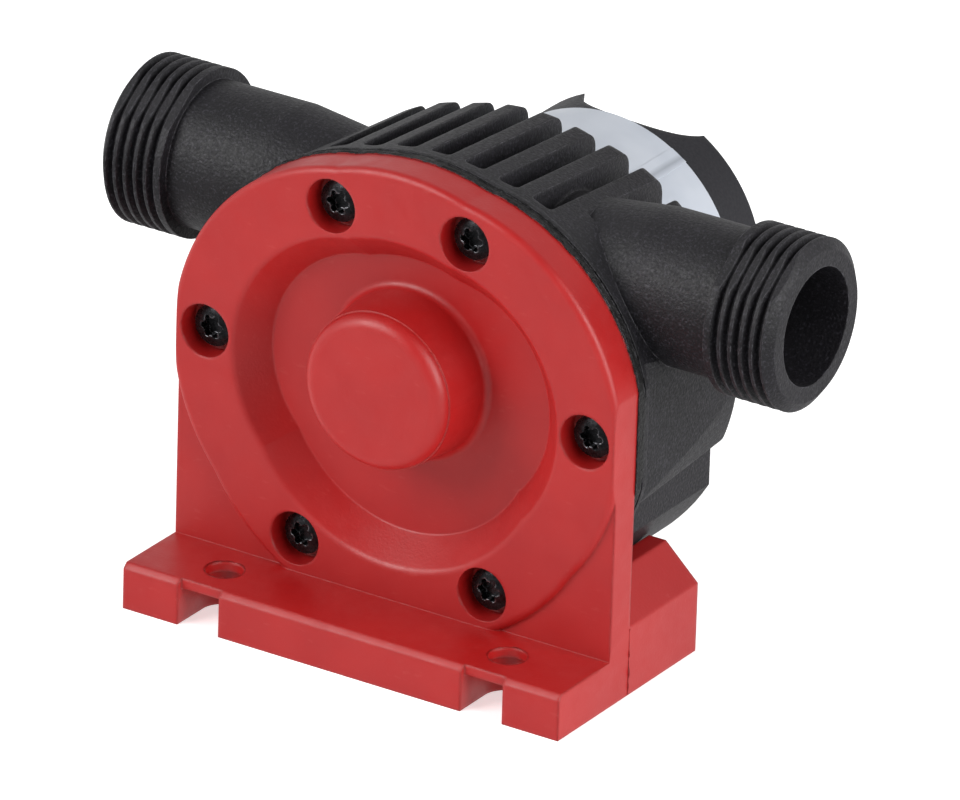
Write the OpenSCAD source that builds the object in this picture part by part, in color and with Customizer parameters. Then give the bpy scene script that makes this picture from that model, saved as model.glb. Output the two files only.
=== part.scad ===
// Drill pump: a small self-priming pump that a power drill turns.
// A rubber impeller runs in an eccentric chamber between two threaded hose ports.
// X runs along the ports, Y from the front cover to the drive shaft, Z is up.
// The origin is the middle of the foot's underside, below the cover's front face.

/* [Cover outline] */
// Height of the lower outline circle's centre, which is also the chamber's
core_z = 38.85; // [38:0.05:39.6]
// How far the lower circle of the cover's recess lies outside the chamber
recess_margin = 1.94; // [1.5:0.01:2.5]
// How much smaller the two upper circles of the recess are
lobe_less = 3.56; // [3.1:0.01:4]
// Distance of each upper circle from the middle
lobe_x = 5.97; // [5.4:0.01:6.6]
// How far the upper circles lie above the lower one
lobe_rise = 2.21; // [1.8:0.01:2.7]
// Width of the flat face around the recess
rim_w = 10.79; // [10.3:0.01:11.2]
// Rounding of the cover's outer front edge
rim_round = 1.1; // [0.6:0.1:1.6]
// Thickness of the cover plate
plate_t = 6.3; // [6:0.1:7]
// How far the lower corners lie behind the round face
corner_setback = 1; // [0.6:0.1:1.6]

/* [Recess and bearing boss] */
// Depth of the recess floor
recess_d = 4.86; // [4.2:0.02:5.2]
// Width of the sloped band around the floor
slope_w = 4.18; // [3.6:0.02:4.8]
// Rounding of the recess lip
lip_round = 1.5; // [0.6:0.1:1.8]
// Rounding of the corner around the recess floor
floor_round = 0.5; // [0.2:0.1:1.2]
// Height of the drive shaft above the foot's underside
shaft_z = 42.69; // [42.2:0.01:43.2]
// Radius of the boss at its front
boss_r = 12.24; // [11.4:0.02:12.8]
// Radius of the boss at the recess floor
boss_base_r = 13.1; // [12.8:0.1:14]
// How far the boss stands in front of the cover's face
boss_out = 5.98; // [5:0.02:7.5]
// Rounding of the boss's front edge
boss_round = 2.2; // [0.5:0.1:2.6]
// Fillet at the foot of the boss
boss_fillet = 1.2; // [0.4:0.1:1.6]

/* [Foot] */
// Width of the foot and of the plate above it
foot_w = 76.8; // [75.6:0.1:79]
// How far the foot reaches in front of the cover's face
foot_front = 12.8; // [12:0.1:15]
// How far the foot reaches behind the cover's face
foot_back = 25.3; // [22:0.1:28]
// Height of the front ledge
ledge_h = 7.35; // [6.6:0.05:8.4]
// Height of the upright side face behind the plate
side_h = 11.1; // [10:0.1:12.2]
// Height of the cradle's top edge
cradle_h = 16.5; // [15:0.1:17.5]
// Sideways run of the slope between the two
cradle_slope = 5.8; // [4:0.1:7]
// Sideways width of the cradle's top edge
cradle_top_w = 3.5; // [2:0.1:5]
// Gap between the cradle and the housing in it
cradle_gap = 0.3; // [0.2:0.05:0.6]
// Width of the bolt slots
slot_w = 7.3; // [6.6:0.1:8.4]
// Distance of each bolt slot from the middle
slot_x = 25; // [24:0.1:26]
// Skin over each bolt slot
slot_skin = 1.6; // [1.2:0.1:2.4]
// How far the skin's front edge lies behind the foot's front
skin_setback = 0.9; // [0.2:0.1:1.6]
// Diameter of the bolt holes through the skin
bolt_d = 5.8; // [5:0.1:6.2]
// Distance of the bolt holes in front of the cover's face
bolt_y = 5.8; // [5.2:0.1:6.6]

/* [Cover screws] */
// Distance of the screws outside the recess outline
screw_out = 4.79; // [4.5:0.01:5.2]
// Direction of the upper screws from their circle's centre
upper_angle = 78; // [72:0.5:84]
// Direction of the side screws from their circle's centre
side_angle = 2; // [-4:0.5:8]
// Direction of the lower screws from the lower circle's centre
lower_angle = -57.7; // [-62:0.1:-52]
// Radius of the counterbores
counterbore_r = 4.25; // [3.9:0.05:4.5]
// Radius of the screw heads
head_r = 3.3; // [3:0.05:3.5]
// Height of the screw heads
head_h = 2.4; // [2:0.1:2.6]
// Depth of the head's top below the cover's face
head_sunk = 1.6; // [1:0.1:1.8]
// Radius of the screw shanks
shank_r = 1.75; // [1.5:0.05:2]
// Length of the shanks below the head
shank_len = 9; // [8:0.5:10]

/* [Housing] */
// Radius of the impeller chamber
chamber_r = 24.2; // [23.8:0.1:24.6]
// Depth of the chamber behind the cover plate
chamber_d = 26.4; // [25:0.1:27.5]
// Thickness of the chamber's rear wall
rear_wall = 5.35; // [5:0.05:6]
// Thickness of the other walls
wall = 2.8; // [2.5:0.1:3]
// Thickness of the flange behind the cover
flange_t = 2.7; // [2.4:0.1:3]
// How far the flange stands out past the cover's round edge
flange_lip = 0.22; // [0.1:0.02:0.4]
// Radius of the lower body
body_r = 36.8; // [36.2:0.1:37]
// Half width between the lower body's side flats
flat_x = 32; // [31.4:0.1:33]
// Half width of the upper body
block_x = 37.4; // [36.8:0.1:37.8]
// Height of the upper body's lower edge
block_z = 29.7; // [28.5:0.1:31]
// Rounding of the upper body's lower rear corners
block_round = 3.1; // [2:0.1:4]

/* [Cooling fins] */
// Number of fins
fin_count = 10; // [8:1:12]
// Distance from one fin to the next
fin_pitch = 5.92; // [5.6:0.01:6.1]
// Thickness of each fin
fin_t = 2.5; // [2.2:0.1:2.8]
// How far the fin tops fall towards the rear
fin_fall = 2.1; // [1:0.1:2.6]
// Rounding of the fins' upper rear corners
fin_round = 2.6; // [1.5:0.1:3]
// Height of the floor between the fins
fin_floor_z = 53; // [51:0.5:56]
// Distance from the flange to the front of the gaps
fin_shoulder = 1.8; // [1:0.1:2.6]
// The same distance at the outermost gaps, beside the ports' tubes
flank_shoulder = 7.7; // [6:0.1:9]
// Rounding of the gaps' front corners
gap_round = 0.9; // [0.4:0.1:1.5]

/* [Hose ports] */
// Overall length across the two ports
port_span = 117.7; // [114:0.1:122]
// Distance of the port axis behind the cover's face
port_y = 21.74; // [21:0.01:22.4]
// Height of the port axis
port_z = 59.42; // [58.8:0.01:60]
// Radius of the thread crests, a G 3/4 thread
crest_r = 13.22; // [13:0.01:13.4]
// Depth of the thread
thread_d = 1.16; // [1:0.01:1.25]
// Distance from one thread groove to the next
thread_pitch = 1.814; // [1.7:0.002:1.9]
// Number of thread grooves
thread_count = 5; // [4:1:6]
// Plain length at the mouth, outside the thread
lead_len = 1.3; // [1:0.1:2]
// Radius of the tube behind the thread
tube_r = 11.5; // [11.2:0.05:11.9]
// Radius of the tube where it meets the fins
tube_root_r = 10; // [9.8:0.05:10.6]
// Distance from the middle at which the tube starts to widen
tube_root_x = 19.7; // [18:0.1:22]
// Distance from the middle at which it has its full radius
tube_full_x = 32; // [30:0.1:34]
// Radius of the bore at the mouth
bore_r = 9.1; // [8.8:0.05:9.4]
// Length of that bore
bore_len = 18; // [14:0.5:20]
// Radius of the narrower bore that leads to the chamber
duct_r = 7.2; // [6.8:0.05:7.4]
// Wall left between the two ducts above the chamber
bridge_w = 19; // [16:0.5:21]

/* [Drill neck] */
// Outer radius of the neck
neck_r = 23; // [22.4:0.1:23.6]
// Distance of the neck's rear rim behind the cover's face
neck_end = 65.9; // [64.5:0.1:72]
// Depth of the notches in the rim
notch_d = 8; // [6:0.1:9.5]
// Width of the notches at the rim
notch_w = 21.2; // [19:0.1:24]
// Number of notches
notch_count = 3; // [2:1:4]
// Angle by which the notches are turned from the top
notch_turn = 4; // [0:0.5:10]
// Width of the label around the neck
label_w = 17.5; // [14:0.5:19]
// Thickness of the label
label_t = 0.12; // [0.08:0.01:0.2]
// Angle that the label's seam leaves open
label_seam = 0.4; // [0.3:0.1:3]
// Direction of that seam, up from the right
seam_angle = 55.4; // [10:0.1:80]

/* [Drive shaft and impeller] */
// Radius of the drive shaft
shaft_r = 4; // [3.9:0.05:4.1]
// Distance of the shaft's rear end behind the cover's face
shaft_end = 88.5; // [84:0.5:94]
// Number of impeller vanes
vane_count = 6; // [5:1:6]
// How far the vane tips would reach past the chamber's radius if nothing bent them
vane_press = 4.7; // [4.5:0.1:5.8]
// Thickness of the vanes
vane_t = 2.2; // [1.8:0.1:2.6]
// Radius of the bead along each vane's tip
bead_r = 1.6; // [1.4:0.1:1.9]
// Radius of the impeller's rubber hub
hub_r = 9; // [8.6:0.1:9.4]
// Radius of the hexagonal insert in the hub, across its corners
insert_r = 6.8; // [6.6:0.1:7.2]
// Radius of the cross pin through the shaft
pin_r = 1.5; // [1.2:0.1:1.6]

/* [Bearings and seals] */
// Outer radius of the front bush
bush_r = 6; // [5.6:0.1:6.5]
// Outer radius of the rear ball bearing
bearing_r = 11; // [10.9:0.05:11.1]
// Width of the rear ball bearing
bearing_w = 7; // [6.5:0.1:7.5]
// Number of balls
ball_count = 7; // [6:1:7]
// Radius of the balls
ball_r = 1.98; // [1.8:0.02:2]
// Outer radius of the shaft seal
seal_r = 8; // [7.8:0.05:8.2]
// Width of the shaft seal
seal_w = 5; // [4.5:0.1:5.5]
// Radius of the cover seal's cord
cord_r = 1; // [0.8:0.05:1.1]

/* [Hidden] */
$fn = 64;
// Facets of the domes, of small round cords and of the star's lobes
dome_steps = 96;
cord_steps = 32;
lobe_steps = 24;
// Sides of the impeller's hexagonal insert
insert_sides = 6;
// Running clearance between turning and fixed parts, on the radius
running_gap = 0.03;
// End play beside the impeller
end_play = 0.35;
// Looseness of pieces that are laid in a seat
seat_gap = 0.05;
// How far cuts run past the faces that they open
overrun = 1;
// Clearance between a vane's tip and the chamber wall
vane_gap = 0.15;
// Depth that the vane roots reach into the hub
vane_root = 1;
// Tightest and widest angles that a vane's bend is sought between
least_bend = 1;
most_bend = 175;
// Halvings of that range
bend_steps = 24;
// Share of a turn that the vanes are set off from the port side
vane_set_share = 0.5;
// Points along each rounded edge of the recess
round_steps = 6;
// Height by which the cover's inner face stands into the chamber
spigot_h = 0.9;
// Gap around that spigot
spigot_gap = 0.1;
// Thickness of the thrust washers
washer_t = 0.9;
// Outer radius of the front thrust washer
washer_r = 8;
// Depth of the shaft's front end in its bush
bush_len = 8.5;
// Free space in front of the shaft's end
bush_clear = 0.7;
// Chamfer at the shaft's ends
shaft_chamfer = 0.6;
// Length of the cross pin
pin_len = 11.2;
// Radius of the star recess in the screw heads, and the radius and number of its lobes
star_r = 1.42;
star_lobe_r = 0.5;
star_lobes = 6;
// Depth of the star recess
star_d = 1.6;
// Height of the heads' dome, as a share of the head
dome_share = 1 / 3;
// Depth by which the screws' pilot holes run past their tips
pilot_spare = 0.6;
// Radius of the screw bosses behind the flange
screw_boss_r = 3.7;
// Squash of the cover seal's cord in its groove, across the joint
cord_squash = 0.2;
// Distance of the seal groove's middle line from the chamber wall
groove_out = 2.55;
// Thickness and places of the ribs in the lower body's rear pockets
rib_t = 2.4;
rib_angles = [-142, -90, -38];
// Top of the rear pockets, below the upper body
pocket_top_z = 26.5;
// Sharp line around the flange, its width and depth
line_w = 0.5;
line_d = 0.35;
// Width of each thread groove at its mouth and at its root
groove_mouth = 1.3;
groove_root = 0.35;
// Radius of the port's end face, inside the lead's chamfer
face_r = 11.6;
// Length of that chamfer
lead_chamfer = 1.2;
// Flats left on the thread by the mould's parting line
parting_r = 12.55;
parting_angle = 37;
// Wall of the neck and of the bearing seat in it
neck_wall = 2.7;
seat_wall = 3;
// Widths of the shoulder behind the seal and of the slinger's space
shoulder_w = 1.2;
slinger_space = 3;
// Slinger ring, its outer radius and width
slinger_r = 7;
slinger_w = 2;
// Thickness of its outer edge, as a share of that width
slinger_edge_share = 0.25;
// Circlips, their width and the depth of their grooves
clip_w = 1;
clip_groove = 0.55;
clip_gap_angle = 50;
// Lip behind the circlip groove at the end of the bearing seat
seat_lip = 1.8;
// Number of ribs between the bearing seat and the neck, and their height
neck_rib_count = 6;
neck_rib_h = 8;
// Race walls beside the balls
race_lip = 1.75;
// Space around each ball in its raceway
ball_gap = 0.05;
// Cage of the bearing
cage_t = 1;
cage_w = 5;
cage_gap = 0.12;
// Shields of the bearing, their thickness and setting
shield_t = 0.3;
shield_in = 0.3;
// Metal case of the shaft seal
case_t = 0.7;
// Garter spring of the shaft seal
garter_r = 0.5;
garter_ring_r = 5.6;
// Thickness of the seal's rubber web, as a share of its width
seal_web_share = 0.25;
// Walls of the cored pockets under the foot
foot_wall = 2.7;
// Width of the cored pockets under the foot
core_w = 9.5;
// Rounding of the foot's upper front edge
ledge_round = 0.8;

core_r = chamber_r + recess_margin;
lobe_r = core_r - lobe_less;
plate_rear = plate_t;
spigot_y = plate_rear + spigot_h;
chamber_end = plate_rear + chamber_d;
body_end = chamber_end + rear_wall;
flange_end = plate_rear + flange_t;
lobe_z = core_z + lobe_rise;
half_foot = foot_w / 2;
half_span = port_span / 2;
flange_out = rim_w + flange_lip;
slope_angle = atan2(recess_d, slope_w);
lip_trim = lip_round * tan(slope_angle / 2);
floor_trim = floor_round * tan(slope_angle / 2);
screw_seat_y = head_sunk + head_h;
screw_tip_y = screw_seat_y + shank_len;
pilot_end = screw_tip_y + pilot_spare;
upper_screw = [lobe_x + (lobe_r + screw_out) * cos(upper_angle),
               lobe_z + (lobe_r + screw_out) * sin(upper_angle)];
side_screw = [lobe_x + (lobe_r + screw_out) * cos(side_angle),
              lobe_z + (lobe_r + screw_out) * sin(side_angle)];
lower_screw = [(core_r + screw_out) * cos(lower_angle),
               core_z + (core_r + screw_out) * sin(lower_angle)];
right_screws = [upper_screw, side_screw, lower_screw];
screw_places = [for (side = [-1, 1]) for (place = right_screws) [side * place[0], place[1]]];
gap_w = fin_pitch - fin_t;
gap_start = flange_end + fin_shoulder;
flank_start = flange_end + flank_shoulder;
thread_end = half_span - lead_len;
thread_start = thread_end - thread_count * thread_pitch;
crest_land = thread_pitch / 2;
notch_r = (pow(notch_w / 2, 2) + notch_d * notch_d) / (2 * notch_d);
label_end = neck_end - notch_d;
impeller_front = spigot_y + end_play;
impeller_rear = chamber_end - end_play;
impeller_w = impeller_rear - impeller_front;
vane_len = chamber_r + vane_press - bead_r - hub_r;
bush_rear = spigot_y - washer_t - seat_gap;
bush_front = bush_rear - bush_len;
seal_front = chamber_end + washer_t + 2 * seat_gap;
seal_rear = seal_front + seal_w;
seal_web = seal_web_share * seal_w;
slinger_front = seal_rear + shoulder_w;
bearing_front = slinger_front + slinger_space;
bearing_rear = bearing_front + bearing_w;
bearing_mid = bearing_front + bearing_w / 2;
clip_front = bearing_rear;
seat_end = clip_front + clip_w + seat_lip;
ball_path_r = (bearing_r + shaft_r) / 2;

// Shared shapes

// A round bar or cone along Y, from y0 to y1, about the place (x, z)
module bar(y0, y1, r0, r1, x = 0, z = shaft_z) {
    translate([x, y0, z])
        rotate([-90, 0, 0])
            cylinder(h = y1 - y0, r1 = r0, r2 = r1);
}

// A ring along Y about the shaft
module ring(y0, y1, outer, inner) {
    difference() {
        bar(y0, y1, outer, outer);
        bar(y0 - overrun, y1 + overrun, inner, inner);
    }
}

// A flat drawing in X and Z, made solid from y0 to y1
module between(y0, y1) {
    translate([0, y1, 0])
        rotate([90, 0, 0])
            linear_extrude(y1 - y0)
                children();
}

// A drawing of radius and depth, turned about a line along Y at (x, z)
module turned(x, z) {
    translate([x, 0, z])
        rotate([-90, 0, 0])
            rotate_extrude()
                children();
}

// The outline of three circles, drawn out0 outside the recess at y0 and out1 at y1
module three_circles(y0, y1, out0, out1) {
    bar(y0, y1, core_r + out0, core_r + out1, 0, core_z);
    for (side = [-1, 1])
        bar(y0, y1, lobe_r + out0, lobe_r + out1, side * lobe_x, lobe_z);
}

// Children once on each side of the middle
module both_sides() {
    for (side = [0, 1])
        mirror([side, 0, 0])
            children();
}

// A box that spans the middle, half_x to each side
module slab(half_x, y0, y1, z0, z1) {
    translate([-half_x, y0, z0])
        cube([2 * half_x, y1 - y0, z1 - z0]);
}

// Front cover with its foot

// Half section of the recess: how far outside its edge, and how deep
function lip_points() = [for (i = [0:round_steps])
    let (a = slope_angle * i / round_steps)
    [lip_trim - lip_round * sin(a), lip_round * (1 - cos(a))]];
function floor_points() = [for (i = [0:round_steps])
    let (a = slope_angle * (1 - i / round_steps))
    [-slope_w - floor_trim + floor_round * sin(a), recess_d - floor_round * (1 - cos(a))]];

module recess_circle(r, x, z) {
    profile = concat(
        [[0, -overrun], [r + lip_trim, -overrun]],
        [for (p = lip_points()) [r + p[0], p[1]]],
        [for (p = floor_points()) [r + p[0], p[1]]],
        [[0, recess_d]]);
    turned(x, z)
        polygon(profile);
}

module recess() {
    recess_circle(core_r, 0, core_z);
    for (side = [-1, 1])
        recess_circle(lobe_r, side * lobe_x, lobe_z);
}

// A disc from y = 0 to the plate's rear, its front edge rounded
module rounded_disc(r, x, z) {
    turned(x, z) {
        translate([0, rim_round])
            square([r, plate_rear - rim_round]);
        square([r - rim_round, rim_round]);
        intersection() {
            translate([r - rim_round, rim_round])
                circle(rim_round);
            square([r, rim_round]);
        }
    }
}

module cover_plate() {
    intersection() {
        union() {
            rounded_disc(core_r + rim_w, 0, core_z);
            for (side = [-1, 1])
                rounded_disc(lobe_r + rim_w, side * lobe_x, lobe_z);
        }
        slab(half_foot, 0, plate_rear, 0, 2 * lobe_z);
    }
    slab(half_foot, corner_setback, plate_rear, 0, lobe_z);
}

module screw_hole(place) {
    bar(-overrun, plate_rear + overrun, shank_r + seat_gap, shank_r + seat_gap,
        place[0], place[1]);
    bar(-overrun, screw_seat_y, counterbore_r, counterbore_r, place[0], place[1]);
}

// The boss, drawn as radius and depth from the cover's face
module bearing_boss() {
    fillet_y = recess_d - boss_fillet;
    lean = (boss_base_r - boss_r) / (fillet_y + boss_out);
    turned(0, shaft_z) {
        polygon([
            [0, -boss_out + boss_round], [boss_r + lean * boss_round, -boss_out + boss_round],
            [boss_base_r, fillet_y], [boss_base_r, plate_rear], [0, plate_rear]]);
        translate([boss_base_r, fillet_y])
            difference() {
                square(boss_fillet);
                translate([boss_fillet, 0])
                    circle(boss_fillet);
            }
        translate([0, -boss_out])
            square([boss_r - boss_round, boss_round]);
        intersection() {
            translate([boss_r - boss_round, -boss_out + boss_round])
                circle(boss_round);
            translate([0, -boss_out])
                square([boss_r, boss_round]);
        }
    }
}

module foot_block() {
    translate([-half_foot, 0, 0])
        rotate([90, 0, 90])
            linear_extrude(foot_w)
                polygon([
                    [-foot_front, 0], [corner_setback + overrun, 0],
                    [corner_setback + overrun, ledge_h], [-foot_front + ledge_round, ledge_h],
                    [-foot_front, ledge_h - ledge_round]]);
    inner_x = half_foot - cradle_slope - cradle_top_w;
    difference() {
        between(plate_rear - overrun, foot_back)
            polygon([
                [-half_foot, 0], [half_foot, 0], [half_foot, side_h],
                [half_foot - cradle_slope, cradle_h], [inner_x, cradle_h],
                [-inner_x, cradle_h], [-half_foot + cradle_slope, cradle_h],
                [-half_foot, side_h]]);
        housing_room();
    }
}

// The space that the housing fills behind the plate, with the cradle's gap
module housing_room() {
    flange_room_r = core_r + flange_out + cradle_gap;
    body_room_r = body_r + cradle_gap;
    bar(plate_rear, flange_end + cradle_gap, flange_room_r, flange_room_r, 0, core_z);
    bar(plate_rear, foot_back + overrun, body_room_r, body_room_r, 0, core_z);
    for (place = screw_places)
        bar(plate_rear, foot_back + overrun, screw_boss_r + cradle_gap, screw_boss_r + cradle_gap,
            place[0], place[1]);
}

module bolt_slot() {
    slot_end = -bolt_y;
    translate([slot_x, slot_end, -overrun])
        cylinder(h = ledge_h - slot_skin + overrun, r = slot_w / 2);
    translate([slot_x - slot_w / 2, -foot_front - overrun, -overrun])
        cube([slot_w, foot_front + overrun + slot_end, ledge_h - slot_skin + overrun]);
    translate([slot_x - slot_w / 2, -foot_front - overrun, -overrun])
        cube([slot_w, overrun + skin_setback, ledge_h + 2 * overrun]);
    translate([slot_x, slot_end, 0])
        cylinder(h = ledge_h + overrun, r = bolt_d / 2);
}

// Cored pockets under the foot, which keep its walls even
module foot_cores() {
    core_top = ledge_h - foot_wall;
    first_x = slot_x - slot_w / 2 - foot_wall;
    core_pitch = core_w + foot_wall;
    for (i = [-1, 0])
        translate([i * core_pitch + foot_wall / 2, -foot_front + foot_wall, -overrun])
            cube([min(core_w, first_x - foot_wall / 2), foot_front - 2 * foot_wall, core_top + overrun]);
    side_core_x = slot_x + slot_w / 2 + foot_wall;
    both_sides()
        translate([side_core_x, -foot_front + foot_wall, -overrun])
            cube([half_foot - foot_wall - side_core_x, foot_front - 2 * foot_wall, core_top + overrun]);
    rear_core_x = half_foot - foot_wall - core_w;
    both_sides()
        translate([rear_core_x, plate_rear + foot_wall, -overrun])
            cube([core_w, foot_back - plate_rear - 2 * foot_wall, ledge_h - foot_wall + overrun]);
}

module front_cover() {
    color("#c8312f")
        difference() {
            union() {
                difference() {
                    cover_plate();
                    recess();
                }
                bearing_boss();
                bar(plate_rear - overrun, spigot_y, chamber_r - spigot_gap, chamber_r - spigot_gap,
                    0, core_z);
                foot_block();
            }
            for (place = screw_places)
                screw_hole(place);
            both_sides()
                bolt_slot();
            foot_cores();
            bar(bush_front - bush_clear, spigot_y + overrun, bush_r, bush_r);
            bar(bush_rear, spigot_y + overrun, washer_r + seat_gap, washer_r + seat_gap);
        }
}

// Six screws with domed heads and star recesses
module cover_screw() {
    dome = dome_share * head_h;
    ball = (head_r * head_r + dome * dome) / (2 * dome);
    difference() {
        union() {
            intersection() {
                translate([0, 0, head_h - ball])
                    sphere(ball, $fn = dome_steps);
                cylinder(h = head_h, r = head_r);
            }
            translate([0, 0, -shank_len + shank_r])
                cylinder(h = shank_len, r = shank_r);
            translate([0, 0, -shank_len])
                cylinder(h = shank_r, r1 = shank_r / 2, r2 = shank_r);
        }
        translate([0, 0, head_h - star_d]) {
            cylinder(h = star_d + overrun, r = star_r);
            for (i = [0:star_lobes - 1])
                rotate([0, 0, 360 / star_lobes * i])
                    translate([star_r, 0, 0])
                        cylinder(h = star_d + overrun, r = star_lobe_r, $fn = lobe_steps);
        }
    }
}

module cover_screws() {
    color("#26262a")
        for (place = screw_places)
            translate([place[0], screw_seat_y, place[1]])
                rotate([90, 0, 0])
                    cover_screw();
}

// Rubber cord ring in the housing's flange, flattened by the cover
module cover_seal() {
    color("#1b1b1b")
        turned(0, core_z)
            translate([chamber_r + groove_out, plate_rear])
                intersection() {
                    translate([0, cord_r - cord_squash])
                        circle(cord_r, $fn = cord_steps);
                    translate([-cord_r, 0])
                        square([2 * cord_r, 2 * (cord_r - cord_squash)]);
                }
}

// Pump housing

module flange() {
    intersection() {
        difference() {
            three_circles(plate_rear, flange_end, flange_out, flange_out);
            difference() {
                three_circles(plate_rear + flange_t / 2, plate_rear + flange_t / 2 + line_w,
                              flange_out + overrun, flange_out + overrun);
                three_circles(plate_rear + flange_t / 2, plate_rear + flange_t / 2 + line_w,
                              flange_out - line_d, flange_out - line_d);
            }
        }
        slab(half_foot + flange_lip, plate_rear, flange_end, 0, 2 * lobe_z);
    }
}

// The upper body: a block with the outline's shape, cut straight at its sides
module upper_block() {
    intersection() {
        union() {
            fin_circle(core_r, 0, core_z);
            for (side = [-1, 1])
                fin_circle(lobe_r, side * lobe_x, lobe_z);
        }
        difference() {
            slab(block_x, flange_end, body_end, block_z, 2 * lobe_z);
            both_sides()
                block_corner();
        }
    }
}

// What the rounded lower rear corner takes off
module block_corner() {
    translate([flat_x, body_end - block_round, block_z])
        rotate([90, 0, 90])
            linear_extrude(block_x)
                difference() {
                    translate([0, -overrun])
                        square([block_round + overrun, block_round + overrun]);
                    translate([0, block_round])
                        circle(block_round);
                }
}

// One circle of the fins' outline: it falls to the rear and ends in a rounding
module fin_circle(r, x, z) {
    fall_angle = atan2(fin_fall, body_end - flange_end);
    arc_y = body_end - fin_round;
    arc_r = r + rim_w - (arc_y - flange_end) * tan(fall_angle) - fin_round / cos(fall_angle);
    touch = [arc_r + fin_round * cos(fall_angle), arc_y + fin_round * sin(fall_angle)];
    turned(x, z) {
        polygon([
            [0, flange_end], [r + rim_w, flange_end], touch, [arc_r, arc_y], [arc_r, body_end],
            [0, body_end]]);
        intersection() {
            translate([arc_r, arc_y])
                circle(fin_round);
            polygon([
                [arc_r, arc_y], touch, [arc_r + 2 * fin_round, touch[1]],
                [arc_r + 2 * fin_round, body_end + overrun], [arc_r, body_end + overrun]]);
        }
    }
}

module fin_gaps() {
    for (i = [1:fin_count - 1]) {
        x = (i - fin_count / 2) * fin_pitch;
        front = i == 1 || i == fin_count - 1 ? flank_start : gap_start;
        for (side = [-1, 1])
            translate([x + side * (gap_w / 2 - gap_round), front + gap_round, fin_floor_z])
                cylinder(h = lobe_z, r = gap_round);
        translate([x - gap_w / 2 + gap_round, front, fin_floor_z])
            cube([gap_w - 2 * gap_round, body_end, lobe_z]);
        translate([x - gap_w / 2, front + gap_round, fin_floor_z])
            cube([gap_w, body_end, lobe_z]);
    }
}

// Clears the corners outside the end fins down to the tubes' level
module fin_flanks() {
    outer_fin_x = (fin_count - 1) / 2 * fin_pitch + fin_t / 2;
    both_sides()
        translate([outer_fin_x, flank_start, port_z])
            cube([half_foot, body_end, lobe_z]);
}

module port_tube() {
    rotate([0, 90, 0]) {
        cylinder(h = tube_root_x, r = tube_root_r);
        translate([0, 0, tube_root_x])
            cylinder(h = tube_full_x - tube_root_x, r1 = tube_root_r, r2 = tube_r);
        translate([0, 0, tube_full_x])
            cylinder(h = thread_start - tube_full_x, r = tube_r);
        translate([0, 0, thread_start - crest_land])
            cylinder(h = half_span - lead_chamfer - thread_start + crest_land, r = crest_r);
        translate([0, 0, half_span - lead_chamfer])
            cylinder(h = lead_chamfer, r1 = crest_r, r2 = face_r);
    }
}

// Ring grooves of the thread and the mould's flats on it
module port_cuts() {
    rotate([0, 90, 0]) {
        for (i = [0:thread_count - 1])
            translate([0, 0, thread_start + (i + 1 / 2) * thread_pitch])
                rotate_extrude()
                    polygon([
                        [crest_r - thread_d, -groove_root / 2], [crest_r, -groove_mouth / 2],
                        [crest_r + overrun, -groove_mouth / 2], [crest_r + overrun, groove_mouth / 2],
                        [crest_r, groove_mouth / 2], [crest_r - thread_d, groove_root / 2]]);
    }
    for (turn = [0, 180])
        rotate([parting_angle + turn, 0, 0])
            translate([thread_start - thread_pitch, -crest_r, parting_r])
                cube([half_span - thread_start + 2 * thread_pitch, 2 * crest_r, crest_r]);
}

module port_bore() {
    bore_start = half_span - bore_len;
    cone_len = bore_r - duct_r;
    rotate([0, 90, 0]) {
        translate([0, 0, bridge_w / 2])
            cylinder(h = bore_start - bridge_w / 2, r = duct_r);
        translate([0, 0, bore_start - cone_len])
            cylinder(h = cone_len, r1 = duct_r, r2 = bore_r);
        translate([0, 0, bore_start])
            cylinder(h = bore_len + overrun, r = bore_r);
    }
}

module lower_body() {
    intersection() {
        bar(flange_end, body_end, body_r, body_r, 0, core_z);
        slab(flat_x, flange_end, body_end, 0, lobe_z);
    }
}

// Pockets open to the rear, between the chamber wall and the outer wall
module rear_pockets() {
    inner = chamber_r + wall;
    outer = body_r - wall;
    difference() {
        intersection() {
            difference() {
                bar(flange_end, body_end + overrun, outer, outer, 0, core_z);
                bar(flange_end - overrun, body_end + 2 * overrun, inner, inner, 0, core_z);
            }
            slab(flat_x - wall, flange_end, body_end + overrun, 0, pocket_top_z);
        }
        for (place = [lower_screw, [-lower_screw[0], lower_screw[1]]])
            bar(flange_end - overrun, body_end - wall, screw_boss_r, screw_boss_r, place[0], place[1]);
        for (a = rib_angles)
            translate([0, 0, core_z])
                rotate([0, -a, 0])
                    translate([inner - overrun, flange_end - overrun, -rib_t / 2])
                        cube([outer - inner + 2 * overrun, body_end - flange_end, rib_t]);
    }
    both_sides()
        translate([chamber_r + 2 * wall, flange_end, block_z + wall])
            cube([block_x - chamber_r - 3 * wall, body_end,
                  side_screw[1] - screw_boss_r - block_z - wall]);
}

module neck() {
    inner = neck_r - neck_wall;
    seat_r = bearing_r + seat_wall;
    difference() {
        bar(body_end - overrun, neck_end, neck_r, neck_r);
        bar(body_end, neck_end + overrun, inner, inner);
        for (i = [0:notch_count - 1])
            translate([0, 0, shaft_z])
                rotate([0, notch_turn + 360 / notch_count * i, 0])
                    translate([0, label_end + notch_r, 0])
                        cylinder(h = 2 * neck_r, r = notch_r);
    }
    bar(body_end - overrun, seat_end, seat_r, seat_r);
    for (i = [0:neck_rib_count - 1])
        translate([0, 0, shaft_z])
            rotate([0, 360 / neck_rib_count * (i + 1 / 2), 0])
                translate([seat_r - overrun, body_end - overrun, -rib_t / 2])
                    cube([inner - seat_r + 2 * overrun, neck_rib_h + overrun, rib_t]);
}

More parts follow.
